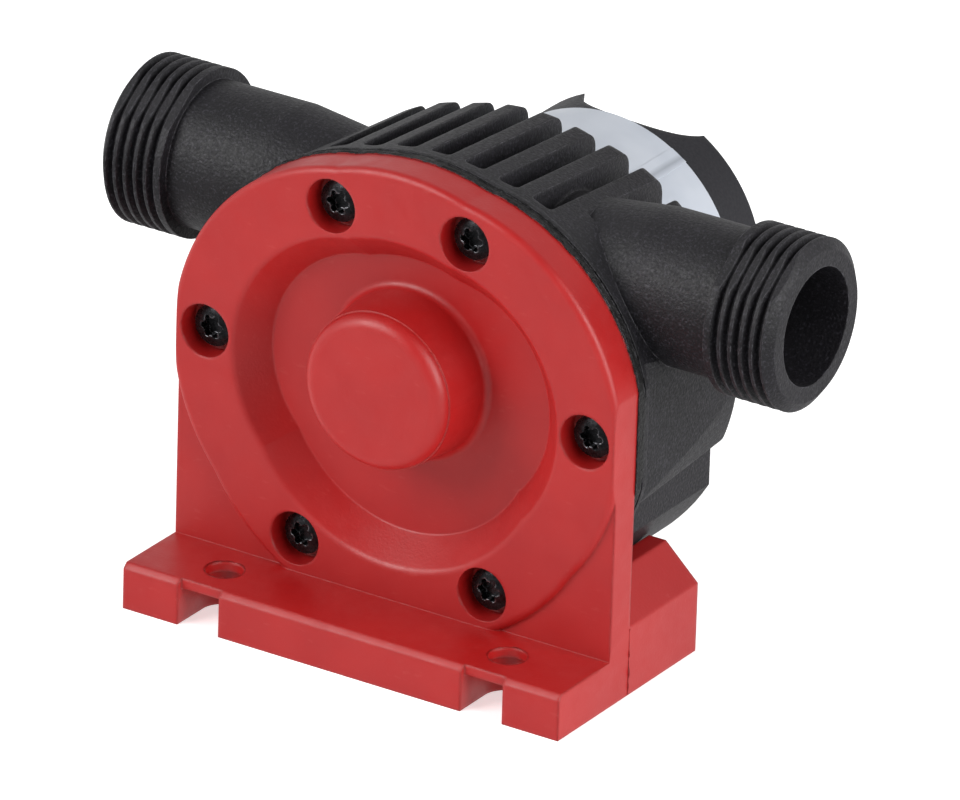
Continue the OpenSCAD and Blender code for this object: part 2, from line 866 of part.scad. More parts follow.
// Stepped bore for the washer, seal, slinger and bearing
module shaft_bores() {
    bar(chamber_end - overrun, seal_rear, seal_r, seal_r);
    bar(seal_rear - overrun, slinger_front + overrun, garter_ring_r, garter_ring_r);
    bar(slinger_front, bearing_front + overrun, slinger_r + overrun, slinger_r + overrun);
    bar(bearing_front, seat_end + overrun, bearing_r, bearing_r);
    bar(clip_front, clip_front + clip_w, bearing_r + clip_groove, bearing_r + clip_groove);
}

module seal_groove() {
    depth = 2 * (cord_r - cord_squash);
    turned(0, core_z)
        translate([chamber_r + groove_out - cord_r - seat_gap, plate_rear - overrun])
            square([2 * (cord_r + seat_gap), depth + overrun]);
}

module pump_housing() {
    color("#2b2b2e")
        difference() {
            union() {
                flange();
                difference() {
                    upper_block();
                    fin_gaps();
                    fin_flanks();
                }
                bar(plate_rear, body_end, chamber_r + wall, chamber_r + wall, 0, core_z);
                difference() {
                    lower_body();
                    rear_pockets();
                }
                for (place = screw_places)
                    bar(flange_end - overrun, pilot_end + wall / 2, screw_boss_r, screw_boss_r,
                        place[0], place[1]);
                neck();
                translate([0, port_y, port_z])
                    both_sides()
                        port_tube();
            }
            bar(plate_rear - overrun, chamber_end, chamber_r, chamber_r, 0, core_z);
            translate([0, port_y, port_z])
                both_sides() {
                    port_cuts();
                    port_bore();
                }
            shaft_bores();
            seal_groove();
            for (place = screw_places)
                bar(plate_rear - overrun, pilot_end, shank_r, shank_r, place[0], place[1]);
        }
}

module neck_label() {
    color("#e8ecf0")
        difference() {
            ring(label_end - label_w, label_end, neck_r + label_t, neck_r);
            translate([0, 0, shaft_z])
                rotate([0, -seam_angle, 0])
                    translate([0, label_end - label_w - overrun, 0])
                        cube([2 * neck_r, label_w + 2 * overrun, neck_r * sin(label_seam)]);
        }
}

// Impeller

// Distance from the shaft to the chamber wall in the direction a
function chamber_reach(a) = let (drop = core_z - shaft_z)
    drop * sin(a) + sqrt(pow(chamber_r, 2) - pow(drop * cos(a), 2));
// Place of a vane's tip, along and across the vane's root direction
function tip_place(bend) = let (curve_r = vane_len / (bend * PI / 180))
    [hub_r + curve_r * sin(bend), curve_r * (1 - cos(bend))];
function tip_room(a, bend) = let (tip = tip_place(bend))
    chamber_reach(a + atan2(tip[1], tip[0])) - vane_gap - bead_r - norm(tip);
// The bend that brings a vane's tip to the wall, found by halving
function vane_bend(a, low, high, steps) = let (middle = (low + high) / 2)
    steps == 0 ? high :
    tip_room(a, middle) < 0 ? vane_bend(a, middle, high, steps - 1)
                            : vane_bend(a, low, middle, steps - 1);

module vane(a) {
    bend = vane_bend(a, least_bend, most_bend, bend_steps);
    curve_r = vane_len / (bend * PI / 180);
    tip = tip_place(bend);
    rotate([0, 0, a]) {
        translate([hub_r, curve_r, 0])
            rotate([0, 0, -90])
                rotate_extrude(angle = bend)
                    translate([curve_r - vane_t / 2, 0])
                        square([vane_t, impeller_w]);
        translate([hub_r - vane_root, -vane_t / 2, 0])
            cube([vane_root, vane_t, impeller_w]);
        translate([tip[0], tip[1], 0])
            cylinder(h = impeller_w, r = bead_r);
    }
}

module impeller() {
    color("#202022")
        translate([0, impeller_rear, shaft_z])
            rotate([90, 0, 0])
                difference() {
                    union() {
                        cylinder(h = impeller_w, r = hub_r);
                        for (i = [0:vane_count - 1])
                            vane(90 + 360 / vane_count * (i + vane_set_share));
                    }
                    translate([0, 0, -overrun])
                        cylinder(h = impeller_w + 2 * overrun, r = insert_r, $fn = insert_sides);
                }
}

module insert_body() {
    translate([0, impeller_rear, shaft_z])
        rotate([90, 0, 0])
            cylinder(h = impeller_w, r = insert_r, $fn = insert_sides);
}

module cross_pin() {
    translate([0, impeller_front + impeller_w / 2, shaft_z - pin_len / 2])
        cylinder(h = pin_len, r = pin_r);
}

module impeller_insert() {
    color("#d8d4c4")
        difference() {
            insert_body();
            bar(impeller_front - overrun, impeller_rear + overrun, shaft_r, shaft_r);
            cross_pin();
        }
}

module drive_pin() {
    color("#a8abb0")
        cross_pin();
}

module drive_shaft() {
    front = bush_front + seat_gap;
    color("#b4b7bb")
        difference() {
            union() {
                bar(front, front + shaft_chamfer, shaft_r - shaft_chamfer, shaft_r);
                bar(front + shaft_chamfer, shaft_end - shaft_chamfer, shaft_r, shaft_r);
                bar(shaft_end - shaft_chamfer, shaft_end, shaft_r, shaft_r - shaft_chamfer);
            }
            cross_pin();
            ring(clip_front, clip_front + clip_w, shaft_r + overrun, shaft_r - clip_groove);
        }
}

// Bush, washers and seals

module front_bush() {
    color("#a9773c")
        ring(bush_front, bush_rear, bush_r, shaft_r + running_gap);
}

module front_thrust_washer() {
    color("#b9bcbf")
        ring(bush_rear + seat_gap, spigot_y - seat_gap, washer_r, shaft_r + running_gap);
}

module rear_thrust_washer() {
    color("#b9bcbf")
        ring(chamber_end + seat_gap, chamber_end + seat_gap + washer_t, seal_r - seat_gap,
             shaft_r + running_gap);
}

// The rubber of the seal: a back web, a neck and a lip that runs on the shaft
module shaft_seal() {
    inner = seal_r - case_t;
    lip_r = shaft_r + running_gap;
    lip_out = garter_ring_r;
    color("#1d1d1f")
        turned(0, shaft_z)
            difference() {
                polygon([
                    [lip_out - garter_r, seal_rear - case_t], [inner, seal_rear - case_t],
                    [inner, seal_rear - case_t - seal_web], [lip_out, seal_rear - case_t - seal_web],
                    [lip_out + garter_r, seal_front + seal_web], [lip_out, seal_front],
                    [lip_r + garter_r, seal_front], [lip_r, seal_front + garter_r],
                    [lip_r, seal_front + 2 * garter_r],
                    [lip_out - garter_r, seal_rear - case_t - seal_web]]);
                translate([garter_ring_r + garter_r, seal_front + seal_web])
                    circle(garter_r, $fn = cord_steps);
            }
}

module seal_case() {
    color("#9a9da1")
        turned(0, shaft_z) {
            translate([seal_r - case_t, seal_front])
                square([case_t, seal_w]);
            translate([garter_ring_r, seal_rear - case_t])
                square([seal_r - garter_ring_r, case_t]);
        }
}

module garter_spring() {
    color("#c4c6c8")
        turned(0, shaft_z)
            translate([garter_ring_r + garter_r, seal_front + seal_web])
                circle(garter_r - seat_gap / 2, $fn = cord_steps);
}

module slinger_ring() {
    start = slinger_front + (slinger_space - slinger_w) / 2;
    color("#242426")
        turned(0, shaft_z)
            polygon([
                [shaft_r, start], [slinger_r, start], [slinger_r, start + slinger_edge_share * slinger_w],
                [shaft_r + slinger_w / 2, start + slinger_w], [shaft_r, start + slinger_w]]);
}

// Ball bearing

module raceway() {
    translate([ball_path_r, bearing_mid])
        circle(ball_r + ball_gap);
}

module bearing_outer_race() {
    color("#c9ccd0")
        turned(0, shaft_z)
            difference() {
                translate([bearing_r - race_lip, bearing_front])
                    square([race_lip, bearing_w]);
                raceway();
            }
}

module bearing_inner_race() {
    color("#c9ccd0")
        turned(0, shaft_z)
            difference() {
                translate([shaft_r, bearing_front])
                    square([race_lip, bearing_w]);
                raceway();
            }
}

module at_each_ball() {
    for (i = [0:ball_count - 1])
        translate([0, bearing_mid, shaft_z])
            rotate([0, 360 / ball_count * i, 0])
                children();
}

module bearing_balls() {
    color("#e3e5e8")
        at_each_ball()
            translate([ball_path_r, 0, 0])
                sphere(ball_r);
}

module bearing_cage() {
    color("#b08a4a")
        difference() {
            ring(bearing_mid - cage_w / 2, bearing_mid + cage_w / 2,
                 ball_path_r + cage_t / 2, ball_path_r - cage_t / 2);
            at_each_ball()
                translate([ball_path_r - cage_t, 0, 0])
                    rotate([0, 90, 0])
                        cylinder(h = 2 * cage_t, r = ball_r + cage_gap);
        }
}

module bearing_shields() {
    inner = shaft_r + race_lip + cage_gap;
    color("#d2d4d7") {
        ring(bearing_front + shield_in, bearing_front + shield_in + shield_t,
             bearing_r - race_lip, inner);
        ring(bearing_rear - shield_in - shield_t, bearing_rear - shield_in,
             bearing_r - race_lip, inner);
    }
}

// Spring rings, open over an angle at the bottom

module clip_gap() {
    reach = 2 * bearing_r;
    half_open = reach * tan(clip_gap_angle / 2);
    translate([0, 0, shaft_z])
        between(clip_front - overrun, clip_front + clip_w + overrun)
            polygon([[0, 0], [-half_open, -reach], [half_open, -reach]]);
}

module seat_circlip() {
    color("#54565a")
        difference() {
            ring(clip_front, clip_front + clip_w, bearing_r + clip_groove - seat_gap, bearing_r - race_lip);
            clip_gap();
        }
}

module shaft_circlip() {
    color("#54565a")
        difference() {
            ring(clip_front, clip_front + clip_w, shaft_r + race_lip - seat_gap,
                 shaft_r - clip_groove + seat_gap);
            clip_gap();
        }
}

front_cover();
cover_screws();
cover_seal();
pump_housing();
neck_label();
impeller();
impeller_insert();
drive_shaft();
drive_pin();
front_bush();
front_thrust_washer();
rear_thrust_washer();
shaft_seal();
seal_case();
garter_spring();
slinger_ring();
bearing_outer_race();
bearing_inner_race();
bearing_balls();
bearing_cage();
bearing_shields();
seat_circlip();
shaft_circlip();
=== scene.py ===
# %% [markdown]
# # A drill pump in red and black plastic
# The pump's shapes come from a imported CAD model, which this script loads as a fixed frame. Every CAD
# piece keeps its shape and its place. What is left for Blender is what the eye reads as plastic,
# rubber and steel: the grain of each surface, the soft edges and thin flash that a mould leaves, and
# the light. The pieces could be modelled again here, but then the two models could drift apart.

# %% Load the frame
import math

import bpy
from mathutils import Matrix, Vector, noise


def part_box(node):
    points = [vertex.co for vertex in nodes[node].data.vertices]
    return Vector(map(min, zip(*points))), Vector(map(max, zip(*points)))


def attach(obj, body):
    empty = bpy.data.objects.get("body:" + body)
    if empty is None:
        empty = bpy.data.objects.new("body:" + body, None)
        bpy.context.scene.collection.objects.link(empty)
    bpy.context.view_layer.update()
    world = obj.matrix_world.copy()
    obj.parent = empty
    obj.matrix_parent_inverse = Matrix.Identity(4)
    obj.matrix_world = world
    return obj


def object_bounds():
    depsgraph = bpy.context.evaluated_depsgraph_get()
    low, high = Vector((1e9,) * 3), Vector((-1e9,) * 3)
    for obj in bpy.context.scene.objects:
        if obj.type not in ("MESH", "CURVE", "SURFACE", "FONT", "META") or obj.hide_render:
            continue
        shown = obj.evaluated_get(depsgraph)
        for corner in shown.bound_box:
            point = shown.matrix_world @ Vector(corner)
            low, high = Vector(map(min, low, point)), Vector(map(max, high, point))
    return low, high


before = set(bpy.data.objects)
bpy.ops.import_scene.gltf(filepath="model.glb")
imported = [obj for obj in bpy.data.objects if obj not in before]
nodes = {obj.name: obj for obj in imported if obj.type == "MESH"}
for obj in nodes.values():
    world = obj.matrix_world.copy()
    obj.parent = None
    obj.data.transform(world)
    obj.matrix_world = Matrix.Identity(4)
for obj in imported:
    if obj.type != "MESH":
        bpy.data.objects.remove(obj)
cad_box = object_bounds()
MM = 0.001

# %% [markdown]
# ## Colours and pattern sizes
# A colour is written as the hex value that a screen shows. Shaders work in linear light, so one
# function turns the first into the second by the sRGB standard's own curve. Colours could be typed as
# linear numbers, but nobody can tell by eye what those look like. Patterns are given by their real
# size: a noise texture's scale counts its bumps per metre, so it is one divided by the size of a bump.

# %% Linear colours and scales
HEX_FULL = 255
SRGB_TOE, SRGB_SLOPE, SRGB_OFFSET, SRGB_POWER = 0.04045, 12.92, 0.055, 2.4


def linear_share(share):
    if share <= SRGB_TOE:
        return share / SRGB_SLOPE
    return ((share + SRGB_OFFSET) / (1 + SRGB_OFFSET)) ** SRGB_POWER


def linear(hex_colour):
    shares = [int(hex_colour[i : i + 2], 16) / HEX_FULL for i in (0, 2, 4)]
    return (*[linear_share(share) for share in shares], 1.0)


def per_metre(size_mm):
    return 1 / (size_mm * MM)


print("mid grey is", round(linear("808080")[0], 3), "in linear light")
print("bumps of 0.5 mm need scale", per_metre(0.5))

# %% [markdown]
# ## Nodes and materials
# One small function adds a shader node, sets it up and links it. A finish is then a base colour,
# other colours laid over it one by one, each where its own share says, and one surface shader. The
# same could be clicked together in the shader editor, but a list of layers is easier to read.

# %% Add a node, begin and finish a material
# A mix node has sockets for numbers, vectors and colours; these are the places of the colour ones
MIX_SHARE, MIX_FIRST, MIX_SECOND, MIX_RESULT = 0, 6, 7, 2


def add_node(owner, kind, inputs=None, **settings):
    node = owner.node_tree.nodes.new(kind)
    for name, value in settings.items():
        setattr(node, name, value)
    for name, value in (inputs or {}).items():
        if isinstance(value, bpy.types.NodeSocket):
            owner.node_tree.links.new(value, node.inputs[name])
        else:
            node.inputs[name].default_value = value
    return node


def new_material(name):
    material = bpy.data.materials.new(name)
    material.use_nodes = True
    material.node_tree.nodes.clear()
    return material


def finish_material(material, base, layers, surface_inputs):
    colour = linear(base)
    for share, hex_colour in layers:
        blend = {MIX_SHARE: share, MIX_FIRST: colour, MIX_SECOND: linear(hex_colour)}
        colour = add_node(material, "ShaderNodeMix", blend, data_type="RGBA").outputs[MIX_RESULT]
    inputs = {"Base Color": colour, **surface_inputs}
    surface = add_node(material, "ShaderNodeBsdfPrincipled", inputs)
    add_node(material, "ShaderNodeOutputMaterial", {"Surface": surface.outputs["BSDF"]})
    print("made", material.name, "with", len(material.node_tree.nodes), "nodes")
    return material


print("made three helpers for nodes and materials")

# %% [markdown]
# ## Patches
# No moulded or ground surface is even. Patches are a value that wanders between two levels, and they
# drive colour, gloss and relief. They are laid out in the object's own space, so they stay put when
# the piece turns. A painted image could do this too, but noise needs no file and has no seams.

# %% Patches in the object's own space
# Most of a noise texture's values lie between these two
NOISE_LOW, NOISE_HIGH = 0.3, 0.7


def object_place(material, stretch=(1, 1, 1)):
    spot = add_node(material, "ShaderNodeTexCoord").outputs["Object"]
    return add_node(material, "ShaderNodeMapping", {"Vector": spot, "Scale": stretch}).outputs["Vector"]


def patches(material, place, size_mm, low=0.0, high=1.0, detail=3.0, start=NOISE_LOW, full=NOISE_HIGH):
    pattern = {"Vector": place, "Scale": per_metre(size_mm), "Detail": detail}
    cloud = add_node(material, "ShaderNodeTexNoise", pattern)
    levels = {"Value": cloud.outputs["Fac"], "From Min": start, "From Max": full}
    levels.update({"To Min": low, "To Max": high})
    return add_node(material, "ShaderNodeMapRange", levels).outputs["Result"]


print("noise between", NOISE_LOW, "and", NOISE_HIGH, "becomes a share from 0 to 1")

# %% [markdown]
# ## Pressed grain, and lighter edges for wear and painted highlight
# No mould or tool leaves a true corner. Pressed grain rounds the shading at sharp edges and then
# dents it layer by layer. Lighter edges are found where that rounding turns the surface away from its
# true direction, and patches of wear break them up. They are partly wear and partly a painted
# highlight along the edges. Bevels cut into the mesh would look the same from near, but the CAD mesh
# has to stay as it is.

# %% Relief, and lighter edges for wear and painted highlight
BEVEL_SAMPLES = 6
WEAR_PATCH_MM = 1.0
WEAR_START, WEAR_FULL = 0.42, 0.62
# Dot product of the rounded and the true direction where the lighter edge (wear and painted highlight)
# starts and where it is full
WEAR_SHEEN_START, WEAR_SHEEN_FULL = 0.98, 0.8


def pressed_grain(material, edge, layers):
    normal = add_node(material, "ShaderNodeBevel", {"Radius": edge}, samples=BEVEL_SAMPLES).outputs["Normal"]
    for height, depth_mm in layers:
        dent = {"Height": height, "Distance": depth_mm * MM, "Normal": normal}
        normal = add_node(material, "ShaderNodeBump", dent).outputs["Normal"]
    return normal


# Lighter edges: partly wear, partly a painted highlight along the rounded edges
def edge_wear_and_sheen(material, place, reach_mm, most):
    rounded = add_node(material, "ShaderNodeBevel", {"Radius": reach_mm * MM}, samples=BEVEL_SAMPLES)
    true = add_node(material, "ShaderNodeNewGeometry")
    both = {0: rounded.outputs["Normal"], 1: true.outputs["Normal"]}
    turned = add_node(material, "ShaderNodeVectorMath", both, operation="DOT_PRODUCT")
    levels = {"Value": turned.outputs["Value"], "From Min": WEAR_SHEEN_START, "From Max": WEAR_SHEEN_FULL}
    at_edge = add_node(material, "ShaderNodeMapRange", {**levels, "To Max": most}).outputs["Result"]
    wear = patches(material, place, WEAR_PATCH_MM, start=WEAR_START, full=WEAR_FULL)
    broken = {0: at_edge, 1: wear}
    return add_node(material, "ShaderNodeMath", broken, operation="MULTIPLY").outputs["Value"]


print("edges are rounded over", BEVEL_SAMPLES, "samples")

# %% [markdown]
# ## Crisp and soft edges of the red cover
# The cover's outside edges are soft, but its recess is crisp, and so is the corner where the ledge
# meets the plate. One rounding for all would blur the recess, and two materials would need the mesh
# cut. So the rounding grows with the distance from a line: the recess's axis, or that corner.

# %% A rounding that grows with distance
# The height of the recess's axis, and how far the crisp zone reaches around it
CORE_Z = 38.85 * MM
RECESS_R = 28 * MM
# The height of the corner at the ledge, and how far the crisp zone reaches around it
LEDGE_TOP = 7.35 * MM
CORNER_R = 1.2 * MM
CRISP_EDGE, SOFT_EDGE = 0.2 * MM, 0.8 * MM
STEP = 1 * MM


def edge_beyond(material, place, centre, plane, radius):
    spot = add_node(material, "ShaderNodeVectorMath", {0: place, 1: centre}, operation="SUBTRACT")
    flat = {0: spot.outputs["Vector"], 1: plane}
    laid = add_node(material, "ShaderNodeVectorMath", flat, operation="MULTIPLY")
    out = add_node(material, "ShaderNodeVectorMath", {0: laid.outputs["Vector"]}, operation="LENGTH")
    softer = {"Value": out.outputs["Value"], "From Min": radius, "From Max": radius + STEP}
    softer.update({"To Min": CRISP_EDGE, "To Max": SOFT_EDGE})
    return add_node(material, "ShaderNodeMapRange", softer).outputs["Result"]


def cover_edge(material, place):
    around_axis = {"centre": (0.0, 0.0, CORE_Z), "plane": (1.0, 0.0, 1.0), "radius": RECESS_R}
    along_ledge = {"centre": (0.0, 0.0, LEDGE_TOP), "plane": (0.0, 1.0, 1.0), "radius": CORNER_R}
    outside = edge_beyond(material, place, **around_axis)
    both = {0: outside, 1: edge_beyond(material, place, **along_ledge)}
    return add_node(material, "ShaderNodeMath", both, operation="MINIMUM").outputs["Value"]


print("edges round from", CRISP_EDGE / MM, "to", SOFT_EDGE / MM, "mm")

# %% [markdown]
# ## The red cover: moulded ABS
# The cover is injection-moulded ABS, coloured right through. The mould was blasted very finely, so
# the sheen is satin: highlights are broad and their edges are soft. Thick places sink a little as
# the plastic cools, which shows as slow waves in the highlight. Handling leaves faint scuffs, a shade
# lighter. The edges are painted lighter too, partly for rubbed wear and partly as a painted highlight
# along them. One flat red with one gloss would be quicker, but it looks like a drawing. Blasting
# leaves marks of about 0.05 mm, too fine to show here, so they are drawn 0.4 mm wide and very shallow.

# %% Red ABS
ABS_IOR = 1.54
# Scuffs run mostly along x and a little along z
ALONG_SCUFF = (0.2, 1.0, 0.6)
SINK_MM, BLASTING_MM = 0.12, 0.01


def red_abs():
    material = new_material("red_abs")
    place = object_place(material)
    clouded = patches(material, place, size_mm=14.0, detail=2.0)
    along = object_place(material, ALONG_SCUFF)
    scuffs = patches(material, along, size_mm=0.6, high=0.12, start=0.64, full=0.74)
    # The lighter edges are partly rubbed wear and partly a painted highlight of the rounded edges
    wear_and_sheen = edge_wear_and_sheen(material, place, reach_mm=0.5, most=0.3)
    layers = [(clouded, "AE1A19"), (scuffs, "C45A54"), (wear_and_sheen, "B9504A")]
    sunk = patches(material, place, size_mm=12.0, detail=1.0)
    blasted = patches(material, place, size_mm=0.4, detail=2.0)
    edge = cover_edge(material, place)
    normal = pressed_grain(material, edge, [(sunk, SINK_MM), (blasted, BLASTING_MM)])
    rough = patches(material, place, size_mm=2.5, low=0.38, high=0.48)
    surface = {"Roughness": rough, "IOR": ABS_IOR, "Normal": normal}
    return finish_material(material, "A51516", layers, surface)


red_plastic = red_abs()

# %% [markdown]
# ## Zones of the black housing
# The housing is one piece, but the mould treats its places differently. The neck around the drill end
# is smoother than the body. The front half of the flange is darker and torn, where the joint to the
# cover was trimmed. The fins' edges are rounded more than the thread's, because a fin has to leave
# its deep slot in the mould. Separate materials would need the CAD mesh cut into regions, so one
# material changes over soft steps at set places.

# %% Soft steps along an axis
NECK_FRONT = 38.2 * MM
FLANGE_LINE = 7.65 * MM
FIN_FOOT = 60 * MM
FINS_HALF_WIDTH = 28 * MM
MOULDED_EDGE, FIN_EDGE = 0.35 * MM, 1.0 * MM


def step_along(material, place, axis, edge, before, after):
    along = add_node(material, "ShaderNodeSeparateXYZ", {"Vector": place}).outputs[axis]
    levels = {"Value": along, "From Min": edge, "From Max": edge + STEP}
    levels.update({"To Min": before, "To Max": after})
    return add_node(material, "ShaderNodeMapRange", levels).outputs["Result"]


def housing_edge(material, place):
    sides = add_node(material, "ShaderNodeVectorMath", {0: place}, operation="ABSOLUTE").outputs["Vector"]
    between = step_along(material, sides, "X", FINS_HALF_WIDTH, before=1.0, after=0.0)
    both = {0: step_along(material, place, "Z", FIN_FOOT, before=0.0, after=1.0), 1: between}
    among_fins = add_node(material, "ShaderNodeMath", both, operation="MULTIPLY").outputs["Value"]
    levels = {"Value": among_fins, "To Min": MOULDED_EDGE, "To Max": FIN_EDGE}
    return add_node(material, "ShaderNodeMapRange", levels).outputs["Result"]


print("the neck starts at y =", NECK_FRONT / MM, "mm and the fins at z =", FIN_FOOT / MM, "mm")

# %% [markdown]
# ## The black housing: glass-filled nylon
# The housing is nylon with short glass fibres in it, moulded in a spark-eroded tool. The fibres
# float up here and there as paler specks, and the tool gives a matt, pitted grain. Real pits are
# about 0.15 mm wide, no more than a pixel here, so they are drawn 0.45 mm wide. Moving the surface
# itself would need millions of faces, so the pits are dents in the shading only.

# %% Black nylon
NYLON_IOR = 1.53
# Gloss of a pitted skin, a little under the usual 0.5
PITTED_GLOSS = 0.42
PIT_MM, TEAR_MM = 0.045, 0.2
NECK_PIT_SHARE = 0.15


def housing_relief(material, place, in_joint):
    pits = patches(material, place, size_mm=0.45, detail=2.0)
    on_body = step_along(material, place, "Y", NECK_FRONT, before=1.0, after=NECK_PIT_SHARE)
    deep_pits = add_node(material, "ShaderNodeMath", {0: pits, 1: on_body}, operation="MULTIPLY")
    torn = patches(material, place, size_mm=0.7, detail=4.0)
    tears = add_node(material, "ShaderNodeMath", {0: torn, 1: in_joint}, operation="MULTIPLY")
    dents = [(deep_pits.outputs["Value"], PIT_MM), (tears.outputs["Value"], TEAR_MM)]
    return pressed_grain(material, housing_edge(material, place), dents)


def black_nylon():
    material = new_material("black_glass_filled_nylon")
    place = object_place(material)
    in_neck = step_along(material, place, "Y", NECK_FRONT, before=0.0, after=1.0)
    in_joint = step_along(material, place, "Y", FLANGE_LINE, before=1.0, after=0.0)
    stained = patches(material, place, size_mm=9.0, detail=2.0)
    specks = patches(material, place, size_mm=0.4, high=0.6, detail=2.0, start=0.54, full=0.72)
    # Paler thread crests and edges: partly rubbed wear, partly painted highlights along them
    wear_and_sheen = edge_wear_and_sheen(material, place, reach_mm=0.3, most=0.8)
    layers = [(stained, "18161B"), (specks, "3D3B43"), (in_neck, "1B1A20"), (in_joint, "0E0D0E")]
    layers.append((wear_and_sheen, "605E65"))
    normal = housing_relief(material, place, in_joint)
    rough = patches(material, place, size_mm=0.5, low=0.5, high=0.68)
    surface = {"Roughness": rough, "IOR": NYLON_IOR, "Specular IOR Level": PITTED_GLOSS}
    return finish_material(material, "111014", layers, {**surface, "Normal": normal})


black_plastic = black_nylon()

# %% [markdown]
# ## The screws: black-oxide steel
# Black oxide is a thin skin on steel. It keeps the metal's gloss, but the colour is nearly black. A
# plain black metal would hide the star, so the edges of the star recess are painted bright: partly
# wear where a driver has rubbed, partly painted glints, and these carry most of what the eye reads.
# The crystals of the skin are far too fine to show, so its mottling is drawn about 0.5 mm wide.

# %% Black-oxide steel
# The dark skin over the steel takes away a little of the metal's look
OXIDE_METALLIC = 0.85
OXIDE_EDGE = 0.22 * MM
OXIDE_GRAIN_MM = 0.012


def black_oxide_steel():
    material = new_material("black_oxide_steel")
    place = object_place(material)
    clouded = patches(material, place, size_mm=0.6)
    # The star's edges are painted bright: partly wear from the driver, partly painted glints
    layers = [(clouded, "3C3C3F"), (edge_wear_and_sheen(material, place, reach_mm=0.4, most=1.0), "A4A4AA")]
    rough = patches(material, place, size_mm=0.5, low=0.2, high=0.38)
    grain = patches(material, place, size_mm=0.4)
    normal = pressed_grain(material, OXIDE_EDGE, [(grain, OXIDE_GRAIN_MM)])
    surface = {"Roughness": rough, "Metallic": OXIDE_METALLIC, "Normal": normal}
    return finish_material(material, "242426", layers, surface)


screw_steel = black_oxide_steel()

# %% [markdown]
# ## The label: polypropylene film
# The label is a plain white polypropylene film around the neck. Where its two ends meet it lifts a
# little, and a soft grey crease of shade runs along the seam. The crease could be folded into the
# mesh, but it is fainter than a fold. So the material paints shade on the film close to the seam
# and lifts it with a bump, and the first step is a share that says how close a point is.

# %% How close to the seam
SHAFT_Z = 42.69 * MM
SEAM_ANGLE = math.radians(55.4)
CREASE_HALF_WIDTH = 0.9 * MM
CREASE_SHARE = 0.5


def seam_crease_and_shade(material, place):
    from_shaft = {0: place, 1: (0.0, 0.0, SHAFT_Z)}
    spot = add_node(material, "ShaderNodeVectorMath", from_shaft, operation="SUBTRACT").outputs["Vector"]
    across = {0: spot, 1: (-math.sin(SEAM_ANGLE), 0.0, math.cos(SEAM_ANGLE))}
    distance = add_node(material, "ShaderNodeVectorMath", across, operation="DOT_PRODUCT").outputs["Value"]
    apart = add_node(material, "ShaderNodeMath", {0: distance}, operation="ABSOLUTE").outputs["Value"]
    fade = {"Value": apart, "From Max": CREASE_HALF_WIDTH, "To Min": 1.0, "To Max": 0.0}
    near = add_node(material, "ShaderNodeMapRange", fade).outputs["Result"]
    height = add_node(material, "ShaderNodeSeparateXYZ", {"Vector": spot}).outputs["Z"]
    upper_half = {"Value": height, "From Max": STEP, "To Max": CREASE_SHARE}
    above = add_node(material, "ShaderNodeMapRange", upper_half).outputs["Result"]
    return add_node(material, "ShaderNodeMath", {0: near, 1: above}, operation="MULTIPLY").outputs["Value"]


print("the crease is", 2 * CREASE_HALF_WIDTH / MM, "mm wide")

# %% [markdown]
# ## The film's waves and gloss
# Film that is laid by hand around a cylinder keeps slight waves, and they bend the highlight on it.
# Waves could be modelled, but the label is a CAD piece, so a shallow relief about 6 mm wide makes
# them. The film is smooth, so its gloss is the highest of the plastics here.

# %% White film
FILM_IOR = 1.49
FILM_EDGE = 0.05 * MM
WAVE_MM, CREASE_MM = 0.1, 0.15


def white_film():
    material = new_material("white_polypropylene_film")
    place = object_place(material)
    crease_and_shade = seam_crease_and_shade(material, place)
    # The grey near the seam is painted shade of the lifted film's crease
    layers = [(patches(material, place, size_mm=7.0, detail=2.0), "C5CAD3"), (crease_and_shade, "6F7580")]
    waves = patches(material, place, size_mm=6.0, detail=2.0)
    normal = pressed_grain(material, FILM_EDGE, [(waves, WAVE_MM), (crease_and_shade, CREASE_MM)])
    rough = patches(material, place, size_mm=5.0, low=0.32, high=0.42)
    surface = {"Roughness": rough, "IOR": FILM_IOR, "Normal": normal}
    return finish_material(material, "BBC1CB", layers, surface)


label_film = white_film()

# %% [markdown]
# ## Rubber
# The impeller and the seals are moulded nitrile rubber: nearly black, dull, with a dusty bloom. Most
# of it is hidden, so one recipe with two pairs of colours serves all these pieces.

# %% Nitrile rubber
NITRILE_IOR = 1.52
RUBBER_EDGE = 0.15 * MM
BLOOM_MM = 0.01


def nitrile_rubber(name, dark, dusty):
    material = new_material(name)
    place = object_place(material)
    layers = [(patches(material, place, size_mm=2.5, detail=4.0), dusty)]
    rough = patches(material, place, size_mm=0.6, low=0.62, high=0.78)
    bloom = patches(material, place, size_mm=0.3, detail=2.0)
    normal = pressed_grain(material, RUBBER_EDGE, [(bloom, BLOOM_MM)])
    surface = {"Roughness": rough, "IOR": NITRILE_IOR, "Normal": normal}
    return finish_material(material, dark, layers, surface)


impeller_rubber = nitrile_rubber("moulded_nitrile_rubber", "1A1A1B", "2A2A2B")
seal_rubber = nitrile_rubber("seal_nitrile_rubber", "141415", "222223")

# %% [markdown]
# ## Metals
# The shaft, the bearing, the washers and the clips are steel, and the bush and the cage are copper
# alloys. What tells them apart is their colour and the mark of the tool. A ground or turned piece has
# fine rings around the shaft's axis, drawn here by noise that is stretched around that axis, and a
# pressed piece has coarser marks. An anisotropic shader could stretch the highlight too, but on such
# small pieces lines in the gloss are enough. Real grinding marks are about 0.05 mm apart, too fine to
# show here, so they are drawn 0.25 mm apart. The spring, the cage and the clips hardly show, so theirs
# are left finer.

# %% Turned and pressed metal
# The pattern is drawn out around the y axis, but not along it
AROUND_SHAFT = (0.06, 1.0, 0.06)
METAL_EDGE = 0.15 * MM
MARK_MM = 0.004
RUBBED_BRIGHT = "E2E3E5"

